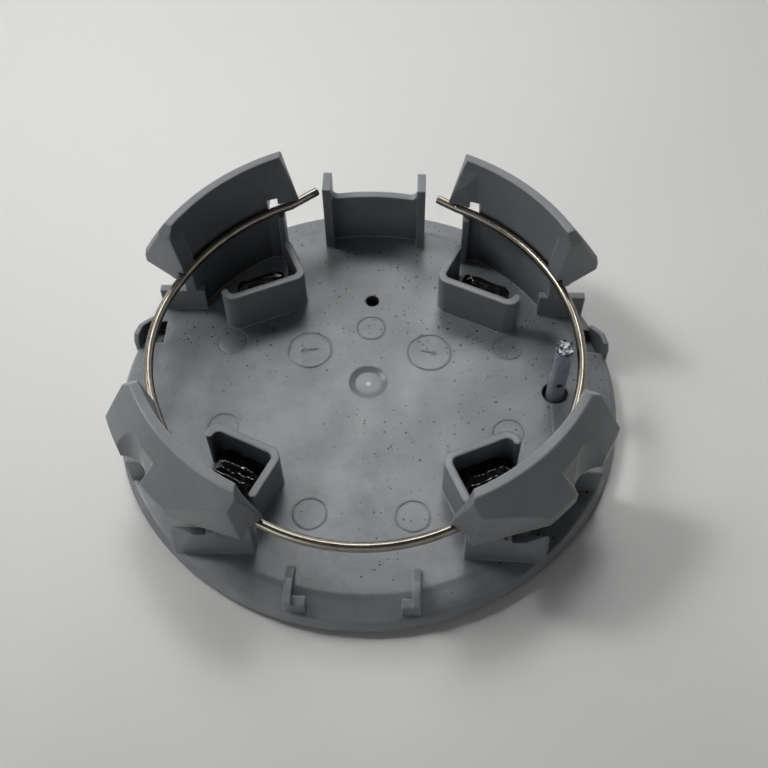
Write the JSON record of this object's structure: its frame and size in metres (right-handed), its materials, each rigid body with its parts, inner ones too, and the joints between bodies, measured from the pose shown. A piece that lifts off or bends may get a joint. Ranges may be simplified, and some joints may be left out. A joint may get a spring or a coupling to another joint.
{
  "type": "wheel centre cap",
  "caption": "Round snap-in centre cap for a car wheel, seen from behind, with hooked claws, a spring wire ring inside them and a staked front plate.",
  "frame": {"origin": "centre of the front face, which the cap lies on", "axes": "+Z along the cap's axis towards the wheel hub, +Y towards twelve o'clock (the upstand), +X towards the locating pin"},
  "size_m": [0.062, 0.062, 0.0195],
  "materials": {
    "grey_plastic": "satin mid-grey moulded plastic, a little dusty",
    "spring_steel": "bright drawn spring wire",
    "dark_plastic": "dark glossy plated plastic, melted and wrinkled at the stake heads"
  },
  "bodies": {
    "root": {"cap_base": "grey_plastic", "retaining_ring": "spring_steel", "face_plate": "dark_plastic"}
  },
  "joints": []
}
